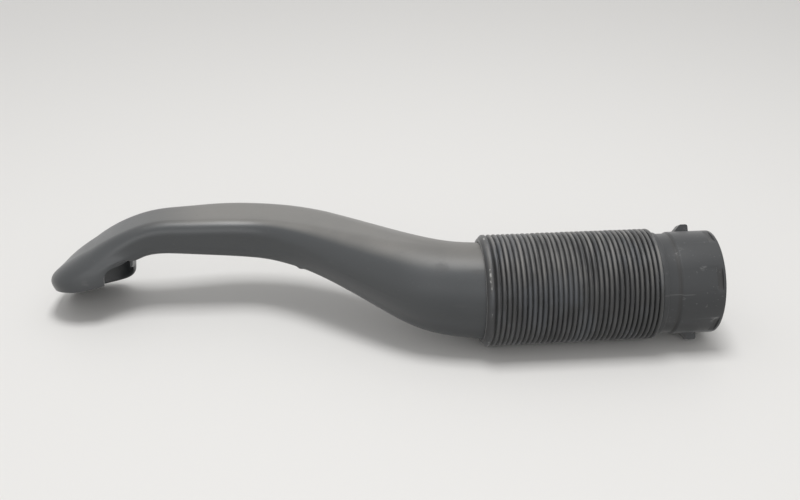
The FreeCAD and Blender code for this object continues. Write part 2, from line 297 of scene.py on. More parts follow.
def seen(tree):
    """1 for rays that only look: from the camera, mirrored or let through."""
    rays = add(tree, "ShaderNodeLightPath").outputs
    return maths(tree, "MAXIMUM", rays["Is Camera Ray"], rays["Is Glossy Ray"], rays["Is Transmission Ray"])


def bumped(tree, heights):
    """Normal from (height socket, distance) pairs stacked on each other."""
    normal = None
    for height, distance in heights:
        inputs = {"Height": height, "Distance": distance, "Strength": 1.0}
        if normal:
            inputs["Normal"] = normal
        normal = add(tree, "ShaderNodeBump", inputs).outputs["Normal"]
    return normal


def new_material(name):
    """A material with its node tree, its shader and the object's own coordinates."""
    material = bpy.data.materials.new(name)
    material.use_nodes = True
    tree = material.node_tree
    shader = tree.nodes["Principled BSDF"]
    place = add(tree, "ShaderNodeTexCoord").outputs["Object"]
    return material, tree, shader, place


def set_values(shader, values):
    """Constants set on the shader's sockets."""
    for name, value in values.items():
        shader.inputs[name].default_value = value


def set_links(tree, shader, colour, rough, normal):
    """Colour, roughness and normal linked to the shader."""
    for name, socket in (("Base Color", colour), ("Roughness", rough), ("Normal", normal)):
        tree.links.new(socket, shader.inputs[name])


# Finishes

# A mottle, grain, ripple or cloud is noise: waves a metre, and detail.
# Streaks, specks, scratches, patches and chips are flecks:
# waves a metre along x, y and z, detail, and the levels where they start and are full.

# levels of mottling between which the roughness changes
MOTTLE_LEVELS = (0.3, 0.7)

DUCT_DARK = (0.0115, 0.0145, 0.0172)
DUCT_LIGHT = (0.0165, 0.0200, 0.0232)
DUCT_SCUFF = (0.060, 0.061, 0.062)
# dust together with a painted sheen: this light colour on faces that look up also stands in for the
# reflection they catch
DUCT_DUST_AND_PAINTED_SHEEN = (0.128, 0.123, 0.113)
DUCT_MOTTLE = (22.0, 4.0)
DUCT_GRAIN = (1400.0, 2.0)
DUCT_RIPPLE = (16.0, 1.0)
DUCT_STREAKS = ((9.0, 260.0, 260.0), 5.0, 0.66, 0.74)
DUCT_SPECKS = ((420.0, 420.0, 420.0), 2.0, 0.68, 0.74)
DUCT_SCRATCHES = ((70.0, 120.0, 190.0), 5.0, 0.50, 0.68)
DUCT_STREAK_SHARE = 0.22
DUCT_SPECK_SHARE = 0.30
# how far faces look up where dust and a painted sheen start and are full, and how mottling thins them:
# levels, then shares
DUCT_DUST_AND_PAINTED_SHEEN_TILT = (0.72, 0.97)
DUCT_DUST_AND_PAINTED_SHEEN_MOTTLE = (0.25, 0.60, 0.72, 1.0)
# dust and the painted sheen thin out towards the hood between these two places along the duct
DUCT_DUST_AND_PAINTED_SHEEN_FADES = (-0.455, -0.375)
# and the skin gets rougher towards the hose between these two
DUCT_DULL_FADES = (-0.250, -0.200)
DUCT_DULL = 0.20
DUCT_WORN_DULL = 0.25
DUCT_ROUGHNESS = (0.40, 0.48)
DUCT_RIPPLE_DEPTH = 0.0012
DUCT_GRAIN_DEPTH = 0.00006
DUCT_WORN_DEPTH = 0.00005
# places where the duct is rubbed: centre and radius
DUCT_RUBS = (
    ((-0.205, -0.016, 0.032), 0.012),
    ((-0.182, -0.025, 0.026), 0.010),
    ((-0.489, 0.050, -0.013), 0.009),
    ((-0.478, 0.048, -0.008), 0.007),
)
DUCT_GLOSS = {
    "Specular IOR Level": 0.75,
    "Coat Weight": 0.3,
    "Coat Roughness": 0.36,
    "Sheen Weight": 0.12,
    "Sheen Roughness": 0.45,
}


def duct_plastic():
    """Satin blow-moulded skin: faint mottling, dust with a painted sheen on faces that look up, fine
    scratches and rubbed patches.
    """
    material, tree, shader, place = new_material("duct_plastic")
    along = axes_of(tree, place)["X"]
    mottle = noise(tree, place, *DUCT_MOTTLE)
    ripple = noise(tree, place, *DUCT_RIPPLE)
    grain = noise(tree, place, *DUCT_GRAIN)
    worn = maths(
        tree, "MAXIMUM",
        maths(tree, "MULTIPLY", rubs(tree, place, DUCT_RUBS), flecks(tree, place, *DUCT_SCRATCHES)),
        maths(tree, "MULTIPLY", flecks(tree, place, *DUCT_STREAKS), DUCT_STREAK_SHARE),
        maths(tree, "MULTIPLY", flecks(tree, place, *DUCT_SPECKS), DUCT_SPECK_SHARE))
    # dust and painted sheen: faces that look up are lightened as if they caught the light
    dust_and_top_light = maths(
        tree, "MULTIPLY", settled(tree, *DUCT_DUST_AND_PAINTED_SHEEN_TILT), ranged(tree, mottle, *DUCT_DUST_AND_PAINTED_SHEEN_MOTTLE),
        ranged(tree, along, *DUCT_DUST_AND_PAINTED_SHEEN_FADES))
    colour = mixed(tree, mottle, DUCT_DARK, DUCT_LIGHT)
    colour = mixed(tree, dust_and_top_light, colour, DUCT_DUST_AND_PAINTED_SHEEN)
    colour = mixed(tree, worn, colour, DUCT_SCUFF)
    rough = maths(
        tree, "ADD", ranged(tree, mottle, *MOTTLE_LEVELS, *DUCT_ROUGHNESS),
        ranged(tree, along, *DUCT_DULL_FADES, 0.0, DUCT_DULL),
        maths(tree, "MULTIPLY", worn, DUCT_WORN_DULL))
    normal = bumped(tree, (
        (ripple, DUCT_RIPPLE_DEPTH), (grain, DUCT_GRAIN_DEPTH), (worn, DUCT_WORN_DEPTH)))
    set_links(tree, shader, colour, rough, normal)
    set_values(shader, DUCT_GLOSS)
    return material


# painted shade: the grooves' colour is darker because shade falls in them
HOSE_GROOVE_SHADE = (0.012, 0.012, 0.013)
HOSE_BODY = (0.0180, 0.0190, 0.0202)
# dust colour, which on faces that look up also stands in for painted top light
HOSE_DUST_AND_TOP_LIGHT = (0.165, 0.161, 0.154)
HOSE_BLUE = (0.040, 0.045, 0.052)
HOSE_RUBBED = (0.34, 0.34, 0.33)
HOSE_CLOUD = (34.0, 4.0)
HOSE_GRAIN = (1500.0, 2.0)
HOSE_DUST_AND_LIGHT_PATCHES = ((210.0, 26.0, 26.0), 4.0, 0.34, 0.68)
HOSE_CHIPS = ((300.0, 210.0, 210.0), 3.0, 0.58, 0.66)
# heights on a rib, and how far faces look up, where dust and the painted top light start and are full
HOSE_DUST_AND_LIGHT_HEIGHTS = (0.45, 1.0)
HOSE_DUST_AND_LIGHT_TILT = (0.25, 0.90)
# share of dust on all sides, and how much more lies on top, where it also stands in for painted light
# falling on the top
HOSE_DUST_ROUND = 0.14
HOSE_DUST_AND_LIGHT_ON_TOP = 0.95
HOSE_BLUE_LEVELS = (0.45, 0.65)
# distances from the collar's edge where rubbed marks end and are full
HOSE_RUBBED_EDGE = (0.0009, 0.0002)
HOSE_ROUGHNESS = (0.52, 0.74)
HOSE_CLOUD_DEPTH = 0.0004
HOSE_GRAIN_DEPTH = 0.00008
HOSE_GLOSS = {
    "Specular IOR Level": 0.45,
    "Coat Weight": 0.28,
    "Coat Roughness": 0.42,
    "Sheen Weight": 0.30,
    "Sheen Roughness": 0.35,
}


def hose_rubber(root, crest, collar_x):
    """Dusty rubber: painted shade in the grooves, warm dust on the crests, heavier on top where it is also
    painted top light, rubbed marks on the collar's edge.
    """
    material, tree, shader, place = new_material("hose_rubber")
    axes = axes_of(tree, place)
    height = ranged(tree, bore_radius(tree, axes), root, crest)
    cloud = noise(tree, place, *HOSE_CLOUD)
    grain = noise(tree, place, *HOSE_GRAIN)
    # dust lies on the crests; the extra on faces that look up is also painted top light
    on_top = maths(tree, "MULTIPLY", settled(tree, *HOSE_DUST_AND_LIGHT_TILT), HOSE_DUST_AND_LIGHT_ON_TOP)
    dust_and_top_light = maths(
        tree, "MULTIPLY", ranged(tree, height, *HOSE_DUST_AND_LIGHT_HEIGHTS),
        flecks(tree, place, *HOSE_DUST_AND_LIGHT_PATCHES), maths(tree, "ADD", HOSE_DUST_ROUND, on_top))
    blue = maths(tree, "MULTIPLY", height, ranged(tree, cloud, *HOSE_BLUE_LEVELS))
    edge = ranged(tree, gap(tree, axes["X"], collar_x), *HOSE_RUBBED_EDGE)
    rubbed = maths(tree, "MULTIPLY", edge, flecks(tree, place, *HOSE_CHIPS), height)
    # painted shade in the grooves: darker from the crest down to the root
    colour = mixed(tree, height, HOSE_GROOVE_SHADE, HOSE_BODY)
    colour = mixed(tree, blue, colour, HOSE_BLUE)
    colour = mixed(tree, dust_and_top_light, colour, HOSE_DUST_AND_TOP_LIGHT)
    colour = mixed(tree, rubbed, colour, HOSE_RUBBED)
    rough = ranged(tree, dust_and_top_light, 0.0, 1.0, *HOSE_ROUGHNESS)
    normal = bumped(tree, ((cloud, HOSE_CLOUD_DEPTH), (grain, HOSE_GRAIN_DEPTH)))
    set_links(tree, shader, colour, rough, normal)
    set_values(shader, HOSE_GLOSS)
    return material


CUP_DARK = (0.0105, 0.0120, 0.0138)
CUP_LIGHT = (0.0190, 0.0210, 0.0232)
# painted shade: darkens the pockets and the neck beside the step
CUP_RECESS_SHADE = (0.008, 0.008, 0.008)
CUP_SCUFF = (0.17, 0.17, 0.17)
CUP_MOTTLE = (40.0, 4.0)
CUP_GRAIN = (1100.0, 3.0)
CUP_SPECKS = ((380.0, 380.0, 380.0), 2.0, 0.67, 0.73)
CUP_SCRATCHES = ((120.0, 400.0, 60.0), 4.0, 0.50, 0.64)
CUP_SPECK_SHARE = 0.25
# depths below the cup's skin where the painted shade starts and is full
CUP_SHADE_DEPTHS = (0.0002, 0.0008)
# places along the cup where the painted shade in the pockets starts and is full, at their back and at their
# front
CUP_SHADE_BACK = (-0.0080, -0.0070)
CUP_SHADE_FRONT = (-0.0020, -0.0026)
# distances from the cup's step where the painted shade ends and is full
CUP_SHADE_STEP = (0.0022, 0.0010)
CUP_SHADE_SHARE = 0.8
# the mould's parting line on the cup's near side: height, distances where it ends and is full,
# places along the cup where it starts and is full, and how strongly it shows
SEAM_HEIGHT = 0.0094
SEAM_EDGE = (0.0005, 0.0001)
SEAM_FADES = (-0.022, -0.026)
SEAM_SHARE = 0.30
CUP_ROUGHNESS = (0.54, 0.64)
CUP_GRAIN_DEPTH = 0.00010
# places where the cup is rubbed: centre and radius
CUP_RUBS = (
    ((-0.017, -0.0277, 0.0272), 0.004),
    ((-0.0325, -0.0176, 0.0346), 0.006),
    ((-0.006, -0.036, -0.012), 0.005),
)
CUP_GLOSS = {
    "Specular IOR Level": 0.45,
    "Coat Weight": 0.45,
    "Coat Roughness": 0.45,
    "Sheen Weight": 0.30,
    "Sheen Roughness": 0.35,
}


def coupling_plastic(cup, step):
    """Fine matte moulding: pale rubs, a parting line, painted shade in the pockets and at the step."""
    material, tree, shader, place = new_material("coupling_plastic")
    axes = axes_of(tree, place)
    shallow, deep = CUP_SHADE_DEPTHS
    recess = ranged(tree, bore_radius(tree, axes), cup - shallow, cup - deep)
    by_mouth = maths(
        tree, "MULTIPLY", ranged(tree, axes["X"], *CUP_SHADE_BACK), ranged(tree, axes["X"], *CUP_SHADE_FRONT))
    by_step = ranged(tree, gap(tree, axes["X"], step), *CUP_SHADE_STEP)
    # painted shade in the pockets and at the foot of the step
    painted_shade = maths(tree, "MULTIPLY", recess, maths(tree, "MAXIMUM", by_mouth, by_step), CUP_SHADE_SHARE)
    near_side = maths(tree, "LESS_THAN", axes["Y"], 0.0)
    seam = maths(
        tree, "MULTIPLY", ranged(tree, gap(tree, axes["Z"], SEAM_HEIGHT), *SEAM_EDGE),
        ranged(tree, axes["X"], *SEAM_FADES), near_side, SEAM_SHARE)
    worn = maths(
        tree, "MAXIMUM",
        maths(tree, "MULTIPLY", rubs(tree, place, CUP_RUBS), flecks(tree, place, *CUP_SCRATCHES)),
        maths(tree, "MULTIPLY", flecks(tree, place, *CUP_SPECKS), CUP_SPECK_SHARE),
        seam)
    mottle = noise(tree, place, *CUP_MOTTLE)
    colour = mixed(tree, mottle, CUP_DARK, CUP_LIGHT)
    colour = mixed(tree, painted_shade, colour, CUP_RECESS_SHADE)
    colour = mixed(tree, worn, colour, CUP_SCUFF)
    rough = ranged(tree, mottle, *MOTTLE_LEVELS, *CUP_ROUGHNESS)
    normal = bumped(tree, ((noise(tree, place, *CUP_GRAIN), CUP_GRAIN_DEPTH),))
    set_links(tree, shader, colour, rough, normal)
    set_values(shader, CUP_GLOSS)
    return material


def floor_paint():
    """Pale paint that, where it is only seen, fades into the background far from the object."""
    material, tree, shader, place = new_material("pale_floor")
    set_values(shader, {"Base Color": (*FLOOR_COLOUR, 1.0), **FLOOR_GLOSS})
    share = maths(tree, "MULTIPLY", seen(tree), ranged(tree, length_of(tree, place), *FLOOR_FADES))
    background = add(tree, "ShaderNodeEmission", {
        "Color": (*WORLD_COLOUR, 1.0), "Strength": SEEN_WORLD_STRENGTH})
    blend = add(tree, "ShaderNodeMixShader", {0: share, 1: shader.outputs[0], 2: background.outputs[0]})
    tree.links.new(blend.outputs[0], tree.nodes["Material Output"].inputs["Surface"])
    return material


# Corrugated hose

RIB_COUNT = 33
RIB_PITCH = 3.75
RIB_DEPTH = 2.8
RIB_FLATNESS = 3.0
INNER_RIB_FLATNESS = 2.0
# depth of the ribs inside, as a share of the depth outside
INNER_RIB_SHARE = 0.7
HOSE_WALL = 1.2
COLLAR_LENGTH = 6.5
COLLAR_TAPER = 2.8
COLLAR_LIP = 2.4
COLLAR_BORE_EDGE = 0.2
COLLAR_LIP_EDGE = 0.6
COLLAR_CREST_EDGE = 1.6
DUCT_DIAMETER = 72.5
FIT_GAP = 0.3
# how far the duct and the coupling's neck each reach into the hose
SPIGOT_DEPTH = 20.0
RIB_POINTS = 10
INNER_RIB_POINTS = 6
HOSE_SEGMENTS = 112
HOSE_SHARP_ANGLE = 50
# unevenness of worn ribs: how far a crest shifts along the hose and how much lower it may be
RIB_UNEVEN = 0.16
CREST_WEAR = 0.22
RIB_SEED = 7
# ribs also lean by a sum of waves round the hose: how far each, how high above the grooves,
# how many waves, and the ranges of turns, phases and lengths
RIB_LEAN = 0.12
LEAN_ABOVE = 0.4
LEAN_WAVES = 3
LEAN_TURNS = (2, 4)
LEAN_PHASES = (0, 6.28)
LEAN_LENGTHS = (9, 30)


def rib_height(share, flatness):
    """Height of one rib from groove to groove, 0 to 1: a round crest between narrow grooves."""
    return 1 - abs(2 * share - 1) ** flatness


def hose_profile(start, crest):
    """Closed (x, radius) outline: collar and ribs outside, shallower ribs inside."""
    root = crest - RIB_DEPTH
    bore = root - HOSE_WALL
    duct_fit = DUCT_DIAMETER / 2 + FIT_GAP
    dice = random.Random(RIB_SEED)
    ribs_from = start + COLLAR_LENGTH
    collar = rounded([
        (start, duct_fit, COLLAR_BORE_EDGE), (start, duct_fit + COLLAR_LIP, COLLAR_LIP_EDGE),
        (start + COLLAR_TAPER, crest, COLLAR_CREST_EDGE),
        (ribs_from - RIB_PITCH / 2, crest, 0), (ribs_from, root, 0)])
    # the first rib starts at the collar's last point
    outside = collar[:-1]
    for rib in range(RIB_COUNT):
        shift = dice.uniform(-RIB_UNEVEN, RIB_UNEVEN)
        wear = dice.uniform(0, CREST_WEAR)
        for step in range(RIB_POINTS):
            share = step / RIB_POINTS
            lift = rib_height(share, RIB_FLATNESS)
            x = ribs_from + RIB_PITCH * (rib + share) + shift * lift
            outside.append((x, root + (RIB_DEPTH - wear) * lift))
    end = ribs_from + RIB_COUNT * RIB_PITCH
    duct_stop = start + SPIGOT_DEPTH + FIT_GAP
    neck_stop = end - SPIGOT_DEPTH
    inside = [(end, root), (end, bore)]
    for rib in range(int((neck_stop - duct_stop) / RIB_PITCH)):
        for step in range(INNER_RIB_POINTS):
            share = step / INNER_RIB_POINTS
            lift = rib_height(share, INNER_RIB_FLATNESS)
            x = neck_stop - RIB_PITCH * (rib + share)
            inside.append((x, bore + INNER_RIB_SHARE * RIB_DEPTH * lift))
    inside += [(duct_stop, bore), (duct_stop, duct_fit)]
    return outside + inside


def bellows():
    """The corrugated hose with its collar."""
    low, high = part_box("bellows_hose")
    start = low.x / MM
    crest = high.z / MM
    root = crest - RIB_DEPTH
    dice = random.Random(RIB_SEED + 1)
    waves = [
        (dice.randint(*LEAN_TURNS), dice.uniform(*LEAN_PHASES), dice.uniform(*LEAN_LENGTHS))
        for _ in range(LEAN_WAVES)]

    def leaning(x, r, turn):
        lean = sum(np.sin(turns * turn + phase + x / length) for turns, phase, length in waves)
        return x + RIB_LEAN * lean * (r > root + LEAN_ABOVE), r

    rings = turned(hose_profile(start, crest), HOSE_SEGMENTS, leaning)
    mesh = ring_mesh("bellows_hose_ribs", inside_box(rings, low, high))
    smooth(mesh, HOSE_SHARP_ANGLE)
    rubber = hose_rubber(root * MM, crest * MM, (start + COLLAR_TAPER) * MM)
    new_piece("bellows_hose_skin", mesh, rubber, "bellows_hose")


# Coupling

CUP_DIAMETER = 77.7
CUP_LENGTH = 34.0
CUP_WALL = 3.0
CUP_SHOULDER = 2.0
SOCKET_DEPTH = 29.5
NECK_WALL = 2.5
BEAD_HEIGHT = 1.1
BEAD_LENGTH = 4.0
LUG_LENGTH = 12.0
LUG_RAMP = 6.0
LUG_HEIGHT = 5.0
LUG_WIDTH = 9.0
LUG_SETBACK = 14.5
LUG_LEAN = 32.0
POCKET_COUNT = 6
POCKET_WIDTH = 19.0
POCKET_LENGTH = 4.0
POCKET_DEPTH = 1.2
POCKET_SETBACK = 2.5
# radii of the edges and of the inner corners
NECK_EDGE = 0.8
NECK_BORE_EDGE = 0.6
BEAD_EDGE = 0.5
BEAD_FOOT = 0.3
STEP_EDGE = 0.9
STEP_FOOT = 0.6
MOUTH_EDGE = 1.6
MOUTH_BORE_EDGE = 0.8
SOCKET_FOOT = 0.4
SOCKET_EDGE = 0.5
LUG_EDGE = 2.0
LUG_RAMP_EDGE = 2.5
# length of the slope at a pocket's ends
POCKET_SLOPE = 0.35
CUP_SEGMENTS = 216
CUP_SHARP_ANGLE = 32

CUP_RADIUS = CUP_DIAMETER / 2
POCKET_END = -POCKET_SETBACK
POCKET_START = POCKET_END - POCKET_LENGTH


def coupling_profile(back, neck):
    """Closed (x, radius) outline: neck, stop bead, step, cup and socket, with points at the pockets."""
    bead = back + SPIGOT_DEPTH + FIT_GAP
    bead_end = bead + BEAD_LENGTH
    step = -CUP_LENGTH
    pocket_points = [
        (end + slope, CUP_RADIUS, 0)
        for end in (POCKET_START, POCKET_END) for slope in (-POCKET_SLOPE, 0, POCKET_SLOPE)]
    return rounded([
        (back, neck - NECK_WALL, NECK_BORE_EDGE), (back, neck, NECK_EDGE),
        (bead, neck, BEAD_FOOT), (bead, neck + BEAD_HEIGHT, BEAD_EDGE),
        (bead_end, neck + BEAD_HEIGHT, BEAD_EDGE), (bead_end, neck, BEAD_FOOT),
        (step, neck, STEP_FOOT), (step + CUP_SHOULDER, CUP_RADIUS, STEP_EDGE),
        *pocket_points,
        (0.0, CUP_RADIUS, MOUTH_EDGE), (0.0, CUP_RADIUS - CUP_WALL, MOUTH_BORE_EDGE),
        (-SOCKET_DEPTH, CUP_RADIUS - CUP_WALL, SOCKET_FOOT),
        (-SOCKET_DEPTH, neck - NECK_WALL, SOCKET_EDGE)])


def pocketed(x, r, turn):
    """The cup's skin pressed in to flat-floored pockets, evenly spaced round the mouth."""
    pitch = 2 * math.pi / POCKET_COUNT
    off = (turn + pitch / 2) % pitch - pitch / 2
    flat = CUP_RADIUS - POCKET_DEPTH
    margin = POCKET_SLOPE / 2
    along = (x > POCKET_START - margin) & (x < POCKET_END + margin)
    skin = r > CUP_RADIUS - CUP_WALL / 2
    across = np.abs(np.tan(off)) * flat <= POCKET_WIDTH / 2
    return x, np.where(along & skin & across, np.minimum(r, flat / np.cos(off)), r)


def lug(turn):
    """A ramped block that stands out of the cup, at an angle in degrees from the top."""
    end = -LUG_SETBACK
    foot = CUP_RADIUS - CUP_WALL / 2
    top = CUP_RADIUS + LUG_HEIGHT
    side = rounded([
        (end - LUG_LENGTH, foot, 0), (end, foot, 0),
        (end, top, LUG_EDGE), (end - LUG_LENGTH + LUG_RAMP, top, LUG_RAMP_EDGE)])
    angle = math.radians(turn)
    out = Vector((0, math.sin(angle), math.cos(angle)))
    across = Vector((0, math.cos(angle), -math.sin(angle)))

    def corner(point, face):
        x, height = point
        return Vector((x, 0, 0)) + out * height + across * LUG_WIDTH * (face - 0.5)

    return prism("lug", side, corner)


def coupling():
    """The push-on coupling with its two lugs."""
    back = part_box("end_coupling")[0].x / MM
    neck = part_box("bellows_hose")[1].z / MM - RIB_DEPTH - HOSE_WALL - FIT_GAP
    mesh = ring_mesh("end_coupling_wall", turned(coupling_profile(back, neck), CUP_SEGMENTS, pocketed))
    for turn in (LUG_LEAN, LUG_LEAN + 180):
        mesh = combined(mesh, lug(turn), "UNION")
    smooth(mesh, CUP_SHARP_ANGLE)
    plastic = coupling_plastic(CUP_RADIUS * MM, -CUP_LENGTH * MM)
    new_piece("end_coupling_cup", mesh, plastic, "end_coupling")


# Duct

DUCT_WALL = 2.4
ROUND_FLAT = 0.6
SWEEP_RUN = 176.0
SWEEP_ASIDE = 88.5
SWEEP_RISE = 17.0
ARCH_WIDTH = 50.0
ARCH_HEIGHT = 32.5
ARCH_CORNER = 10.5
ARCH_RUN = 82.0
ARCH_RETURN = 2.5
ARCH_RISE = 2.5
THROAT_WIDTH = 41.0
THROAT_HEIGHT = 27.0
THROAT_CORNER = 10.0
INLET_LENGTH = 66.0
INLET_WIDTH = 76.0
INLET_CORNER = 30.0
INLET_REACH = 40.0
INLET_SHOULDER = 32.0
INLET_RETURN = 5.0
INLET_ROLL = 22.0
INLET_PITCH = 11.0
INLET_SKIRT = 10.0
# arched cut-out in the hood's near wall; its width and the lip beside it are measured from the heel
NOTCH_WIDTH = 21.5
NOTCH_HEEL = 2.4
NOTCH_HEIGHT = 15.0
NOTCH_DEPTH = 36.0
NOTCH_CORNER = 14.0
NOTCH_HEEL_CORNER = 2.5
# how the moulding is slimmer under the swan neck, crowned on the arch, and lower at the throat and the hood
SWEEP_TUCK = 6.0
TUCK_POWER = 3
ARCH_CROWN = 1.8
THROAT_SINK = 1.0
HOOD_DROP = 5.5
# highest value of the hood's drop curve, share * (1 - share) ** 3
DROP_PEAK = 0.105
# share of the rows from which they are smoothed along the duct, and how often
EASE_FROM = 0.42
EASE_PASSES = 110
# how far the rim bows up at its two ends, from which share of the rows, and how steeply towards the ends
LIFT_FROM = 0.86
NOSE_LIFT = 7.0
NOSE_LIFT_POWER = 2
HEEL_LIFT = 13.0
HEEL_LIFT_POWER = 3
# how much of it the rim's middle line gets at each end, and how that changes across the rim
NOSE_LIFT_MIDDLE = 0.63
HEEL_LIFT_MIDDLE = 1.25
LIFT_SLOPE = 2.5
# how far the hood's nose swells above its rim, and how far the rim itself rolls in
HOOD_SWELL = 10.0
SWELL_FROM = 0.74
SWELL_POWER = 1.4
RIM_ROLL_IN = 2.0
ROLL_IN_POWER = 6
# small moulding nib under the duct
NIB_PLACE = (-312.0, 51.0, -1.4)
NIB_RADIUS = 2.4
NIB_HEIGHT = 1.8
SWEEP_STEPS = 6
ARCH_STEPS = 3
HOOD_STEPS = 4
CORNER_POINTS = 14
SIDE_POINTS = 6
DUCT_ROWS = 220
LIP_STEPS = 6
NOTCH_STEPS = 14
DUCT_SHARP_ANGLE = 35


def between(first, last, share):
    """A value on the way from the first to the last."""
    return first + (last - first) * share


def ease(share):
    """Smooth start and stop, and its slope."""
    return share * share * (3 - 2 * share), 6 * share * (1 - share)


def rim_middle(crest):
    """Middle of the inlet's rim, from the round end of the duct; its lowest point is on the floor."""
    roll = math.radians(INLET_ROLL)
    pitch = math.radians(INLET_PITCH)
    tip = math.sin(pitch) * math.cos(roll)
    low = ((INLET_WIDTH / 2 - INLET_CORNER) * math.sin(roll) + (INLET_LENGTH / 2 - INLET_CORNER) * tip
           + INLET_CORNER * math.hypot(math.sin(roll), tip))
    return Vector((
        -SWEEP_RUN - ARCH_RUN - INLET_REACH, SWEEP_ASIDE - ARCH_RETURN - INLET_RETURN, low - crest))


# A station of the duct is one section: (middle, (roll, yaw, fan), width, height, corner)

def sweep_stations():
    """Sections of the swan neck, from the round end to the arch."""
    round_corner = (DUCT_DIAMETER - ROUND_FLAT) / 2
    stations = []
    for step in range(SWEEP_STEPS + 1):
        share = step / SWEEP_STEPS
        part, slope = ease(share)
        yaw = math.atan(-SWEEP_ASIDE * slope / SWEEP_RUN)
        fan = math.atan(SWEEP_RISE * slope / SWEEP_RUN)
        tuck = SWEEP_TUCK * (4 * share * (1 - share)) ** TUCK_POWER
        middle = Vector((-SWEEP_RUN * share, SWEEP_ASIDE * part, SWEEP_RISE * part + tuck / 2))
        stations.append((
            middle, (0, yaw, fan), between(DUCT_DIAMETER, ARCH_WIDTH, part),
            between(DUCT_DIAMETER, ARCH_HEIGHT, part) - tuck, between(round_corner, ARCH_CORNER, part)))
    return stations


def arch_stations():
    """Sections of the flattened arch, up to the throat."""
    stations = []
    for step in range(1, ARCH_STEPS + 1):
        share = step / ARCH_STEPS
        part, slope = ease(share)
        yaw = math.atan(ARCH_RETURN * slope / ARCH_RUN)
        rise = SWEEP_RISE + (ARCH_RISE - THROAT_SINK) * part + ARCH_CROWN * math.sin(math.pi * share) ** 2
        middle = Vector((-SWEEP_RUN - ARCH_RUN * share, SWEEP_ASIDE - ARCH_RETURN * part, rise))
        stations.append((
            middle, (0, yaw, 0), between(ARCH_WIDTH, THROAT_WIDTH, part),
            between(ARCH_HEIGHT, THROAT_HEIGHT, part), between(ARCH_CORNER, THROAT_CORNER, part)))
    return stations


def hood_stations(throat, rim):
    """Sections of the hood, which turns down from the throat to the rim."""
    roll = math.radians(INLET_ROLL)
    pitch = math.radians(INLET_PITCH)
    hood = rim + INLET_SKIRT * Vector((
        -math.sin(pitch), math.sin(roll) * math.cos(pitch), math.cos(roll) * math.cos(pitch)))
    stations = []
    for step in range(1, HOOD_STEPS + 1):
        share = step / HOOD_STEPS
        square = share * share
        shoulder = INLET_SHOULDER * 2 * share * (1 - share)
        drop = HOOD_DROP * share * (1 - share) ** 3 / DROP_PEAK
        middle = Vector((
            between(throat.x, hood.x, square) - shoulder, between(throat.y, hood.y, share),
            between(throat.z, hood.z, square) - drop))
        turn = (-roll * square, 0, -(math.pi / 2 + pitch) * (share * (2 - share)))
        stations.append((
            middle, turn, between(THROAT_WIDTH, INLET_WIDTH, share),
            between(THROAT_HEIGHT, INLET_LENGTH, square), between(THROAT_CORNER, INLET_CORNER, square)))
    hood_turn = stations[-1][1]
    stations.append((rim, hood_turn, INLET_WIDTH, INLET_LENGTH, INLET_CORNER))
    return stations


def section(station, wall):
    """Points round one section, drawn in by a wall; the same count of points on each side and corner."""
    middle, (roll, yaw, fan), width, height, corner = station
    corner = corner - wall
    across = width / 2 - wall - corner
    up = height / 2 - wall - corner
    centres = [Vector((across, -up)), Vector((across, up)), Vector((-across, up)), Vector((-across, -up))]

    def on_corner(quarter, share):
        angle = math.radians(90) * (quarter - 1 + share)
        return centres[quarter % 4] + corner * Vector((math.cos(angle), math.sin(angle)))

    points = []
    for quarter in range(4):
        points += [on_corner(quarter, step / CORNER_POINTS) for step in range(CORNER_POINTS + 1)]
        start = points[-1]
        stop = on_corner(quarter + 1, 0)
        points += [start.lerp(stop, step / SIDE_POINTS) for step in range(1, SIDE_POINTS)]
    turn = Matrix.Rotation(roll, 3, "Z") @ Matrix.Rotation(yaw, 3, "Y") @ Matrix.Rotation(fan, 3, "X")
    placed = []
    for point in points:
        local = turn @ Vector((point.x, point.y, 0))
        placed.append((middle.x + local.z, middle.y + local.x, middle.z + local.y))
    return np.array(placed)


def spline_rows(knots, values, wanted):
    """Natural cubic spline through the section points at the knots, read at the wanted places."""
    gaps = np.diff(knots)
    count = len(knots)
    system = np.eye(count)
    right = np.zeros((count, *values.shape[1:]))
    for i in range(1, count - 1):
        system[i, i - 1:i + 2] = gaps[i - 1], 2 * (gaps[i - 1] + gaps[i]), gaps[i]
        right[i] = 6 * ((values[i + 1] - values[i]) / gaps[i] - (values[i] - values[i - 1]) / gaps[i - 1])
    bends = np.linalg.solve(system, right.reshape(count, -1)).reshape(right.shape)
    rows = []
    for place in wanted:
        i = min(max(np.searchsorted(knots, place) - 1, 0), count - 2)
        a, b, step = knots[i + 1] - place, place - knots[i], gaps[i]
        rows.append((bends[i] * a ** 3 + bends[i + 1] * b ** 3) / (6 * step)
                    + (values[i] / step - bends[i] * step / 6) * a
                    + (values[i + 1] / step - bends[i + 1] * step / 6) * b)
    return np.array(rows)


def smoothed(rows):
    """Rows of the outer half of the duct smoothed along it; the rows before them and the rim stay."""
    first = int(EASE_FROM * len(rows))
    for _ in range(EASE_PASSES):
        rows[first:-1] = (rows[first - 1:-2] + 2 * rows[first:-1] + rows[first + 1:]) / 4
    return rows


def ramp(rows, start):
    """For each row, 0 up to a share of the rows and then evenly up to 1 at the rim."""
    share = np.linspace(0, 1, len(rows))[:, None]
    return np.clip((share - start) / (1 - start), 0, 1)


def along_rim(rows, rim):
    """For each point, -1 at the nose, 0 at the rim's middle and 1 at the heel."""
    return np.clip((rows[..., 0] - rim.x) / (INLET_LENGTH / 2), -1, 1)


